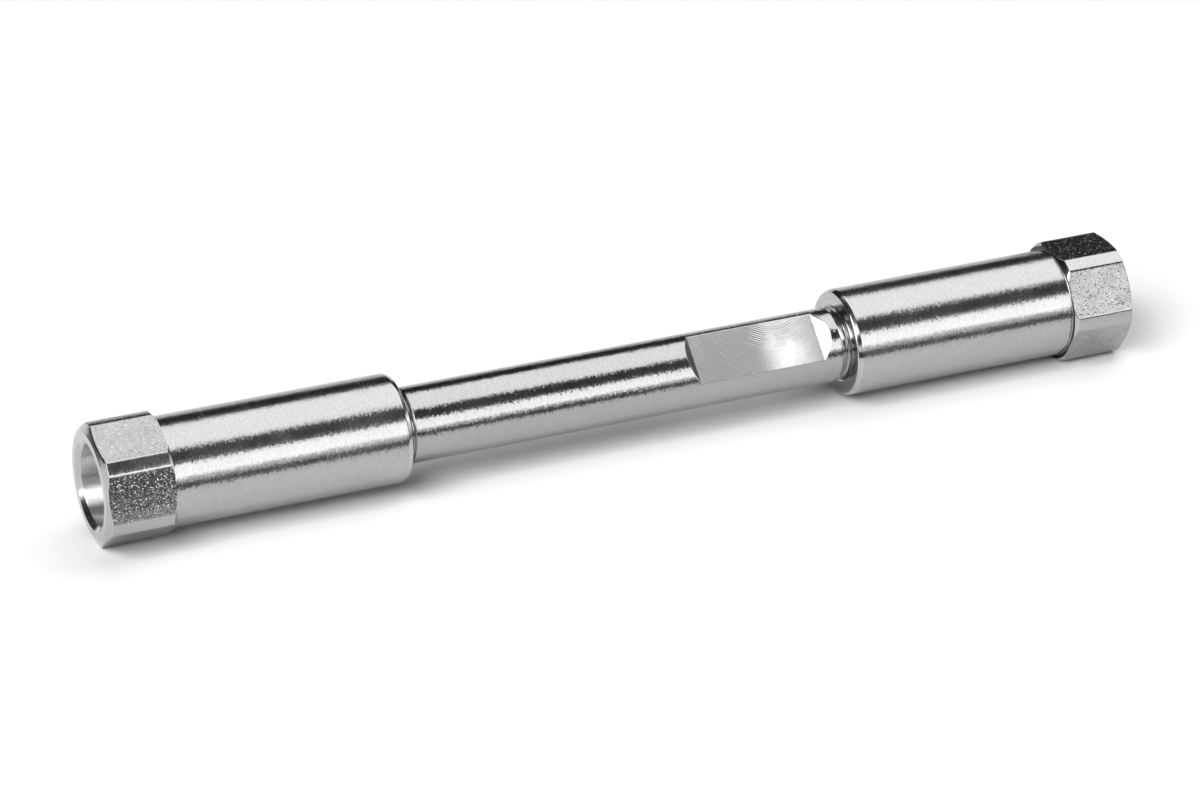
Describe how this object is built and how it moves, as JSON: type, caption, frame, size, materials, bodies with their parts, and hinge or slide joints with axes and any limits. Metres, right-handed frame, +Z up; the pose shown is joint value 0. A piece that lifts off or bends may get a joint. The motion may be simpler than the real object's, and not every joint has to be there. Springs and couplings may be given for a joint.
{
  "type": "hplc column",
  "caption": "Short steel chromatography column: a tube with milled wrench flats between long screwed end fittings, each a sleeve with a hexagonal head, deep counterbore and tubing port.",
  "frame": {"origin": "on the surface under the column, below the middle of its length", "axes": "+X along the column from the inlet end to the outlet end, +Z up, +Y away from the side that shows the front wrench flat"},
  "size_m": [0.1382, 0.0156, 0.0156],
  "materials": {
    "turned_steel": "fine turned and satin stainless steel, milled flats",
    "sintered_steel": "dull sintered powder steel",
    "seal_polymer": "plain matte beige polymer",
    "bed_silica": "packed white powder"
  },
  "bodies": {
    "column": {"column_tube": "turned_steel", "packed_bed": "bed_silica"},
    "inlet_frit_set": {"inlet_frit": "sintered_steel", "inlet_seal_ring": "seal_polymer"},
    "inlet_fitting": {"inlet_end_fitting": "turned_steel"},
    "outlet_frit_set": {"outlet_frit": "sintered_steel", "outlet_seal_ring": "seal_polymer"},
    "outlet_fitting": {"outlet_end_fitting": "turned_steel"}
  },
  "joints": [
    {"name": "inlet_travel", "type": "slide", "parent": "column", "child": "inlet_frit_set", "axis": [-1, 0, 0], "range_m": [0, 0.00675]},
    {"name": "inlet_unscrew", "type": "hinge", "parent": "inlet_frit_set", "child": "inlet_fitting", "pos_m": [-0.03, 0, 0.00778], "axis": [-1, 0, 0], "range_deg": [0, 3240]},
    {"name": "outlet_travel", "type": "slide", "parent": "column", "child": "outlet_frit_set", "axis": [1, 0, 0], "range_m": [0, 0.00675]},
    {"name": "outlet_unscrew", "type": "hinge", "parent": "outlet_frit_set", "child": "outlet_fitting", "pos_m": [0.03, 0, 0.00778], "axis": [1, 0, 0], "range_deg": [0, 3240]}
  ],
  "couplings": [
    {"joint": "inlet_unscrew", "follows": "inlet_travel", "rad_per_m": 8377.6},
    {"joint": "outlet_unscrew", "follows": "outlet_travel", "rad_per_m": 8377.6}
  ]
}
